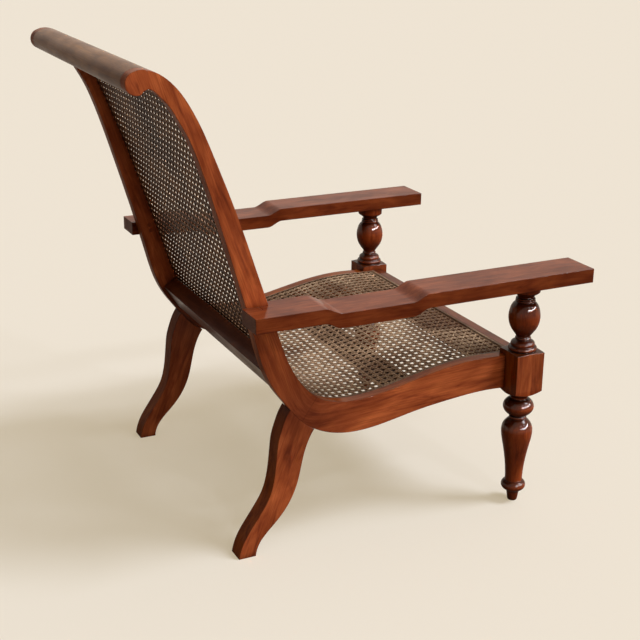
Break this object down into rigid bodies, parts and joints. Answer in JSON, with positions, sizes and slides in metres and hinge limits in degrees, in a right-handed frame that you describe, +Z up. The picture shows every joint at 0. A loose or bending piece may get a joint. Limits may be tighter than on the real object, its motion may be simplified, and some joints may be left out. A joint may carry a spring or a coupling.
{
  "type": "planters chair",
  "caption": "Planters chair: scroll-topped S-curved side frames, a sling of woven cane, long flat arms, turned front legs and swept rear legs.",
  "frame": {"origin": "on the floor, at the centre of the chair's bounding box seen from above", "axes": "+Z up, -Y the way the sitter faces (out along the arms), +X to the sitter's left"},
  "size_m": [0.783, 0.949, 0.963],
  "materials": {
    "mahogany": "gloss lacquer",
    "turned_mahogany": "gloss lacquer",
    "arm_mahogany": "gloss lacquer",
    "rail_mahogany": "satin lacquer",
    "cane": "aged, low gloss",
    "cane_reed": "aged, low gloss",
    "dowel_beech": "bare",
    "steel": "darkened"
  },
  "bodies": {
    "root": {"right_back_stile": "mahogany", "right_seat_rail": "mahogany", "right_rear_leg": "mahogany", "right_front_leg": "turned_mahogany", "right_arm": "arm_mahogany", "left_back_stile": "mahogany", "left_seat_rail": "mahogany", "left_rear_leg": "mahogany", "left_front_leg": "turned_mahogany", "left_arm": "arm_mahogany", "crest_rail": "mahogany", "lower_back_rail": "rail_mahogany", "seat_stretcher": "rail_mahogany", "front_rail": "rail_mahogany", "cane_panel": "cane", "cane_beading": "cane_reed", "leg_dowels": "dowel_beech", "crest_dowels": "dowel_beech", "arm_screws": "steel"}
  },
  "joints": []
}
